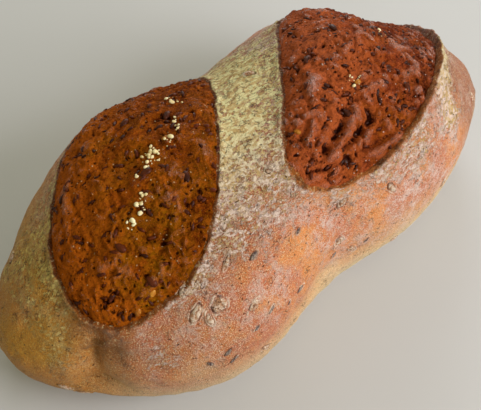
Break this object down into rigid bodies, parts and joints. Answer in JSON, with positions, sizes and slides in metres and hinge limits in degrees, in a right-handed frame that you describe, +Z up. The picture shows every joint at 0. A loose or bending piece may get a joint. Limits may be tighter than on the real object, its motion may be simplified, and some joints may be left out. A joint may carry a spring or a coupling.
{
  "type": "rye bread loaf",
  "caption": "Long hearth-baked rye loaf, waisted in the middle, with seedy crumb blooms torn open across a floury crust",
  "frame": {"origin": "on the surface that the loaf stands on, under the centre of its bounding box", "axes": "+Z up; X along the loaf, with the wider bloom at the -X end; -Y is the near side"},
  "size_m": [0.2896, 0.1477, 0.1025],
  "materials": {
    "crust": "matte"
  },
  "bodies": {
    "root": {"loaf": "crust"}
  },
  "joints": []
}
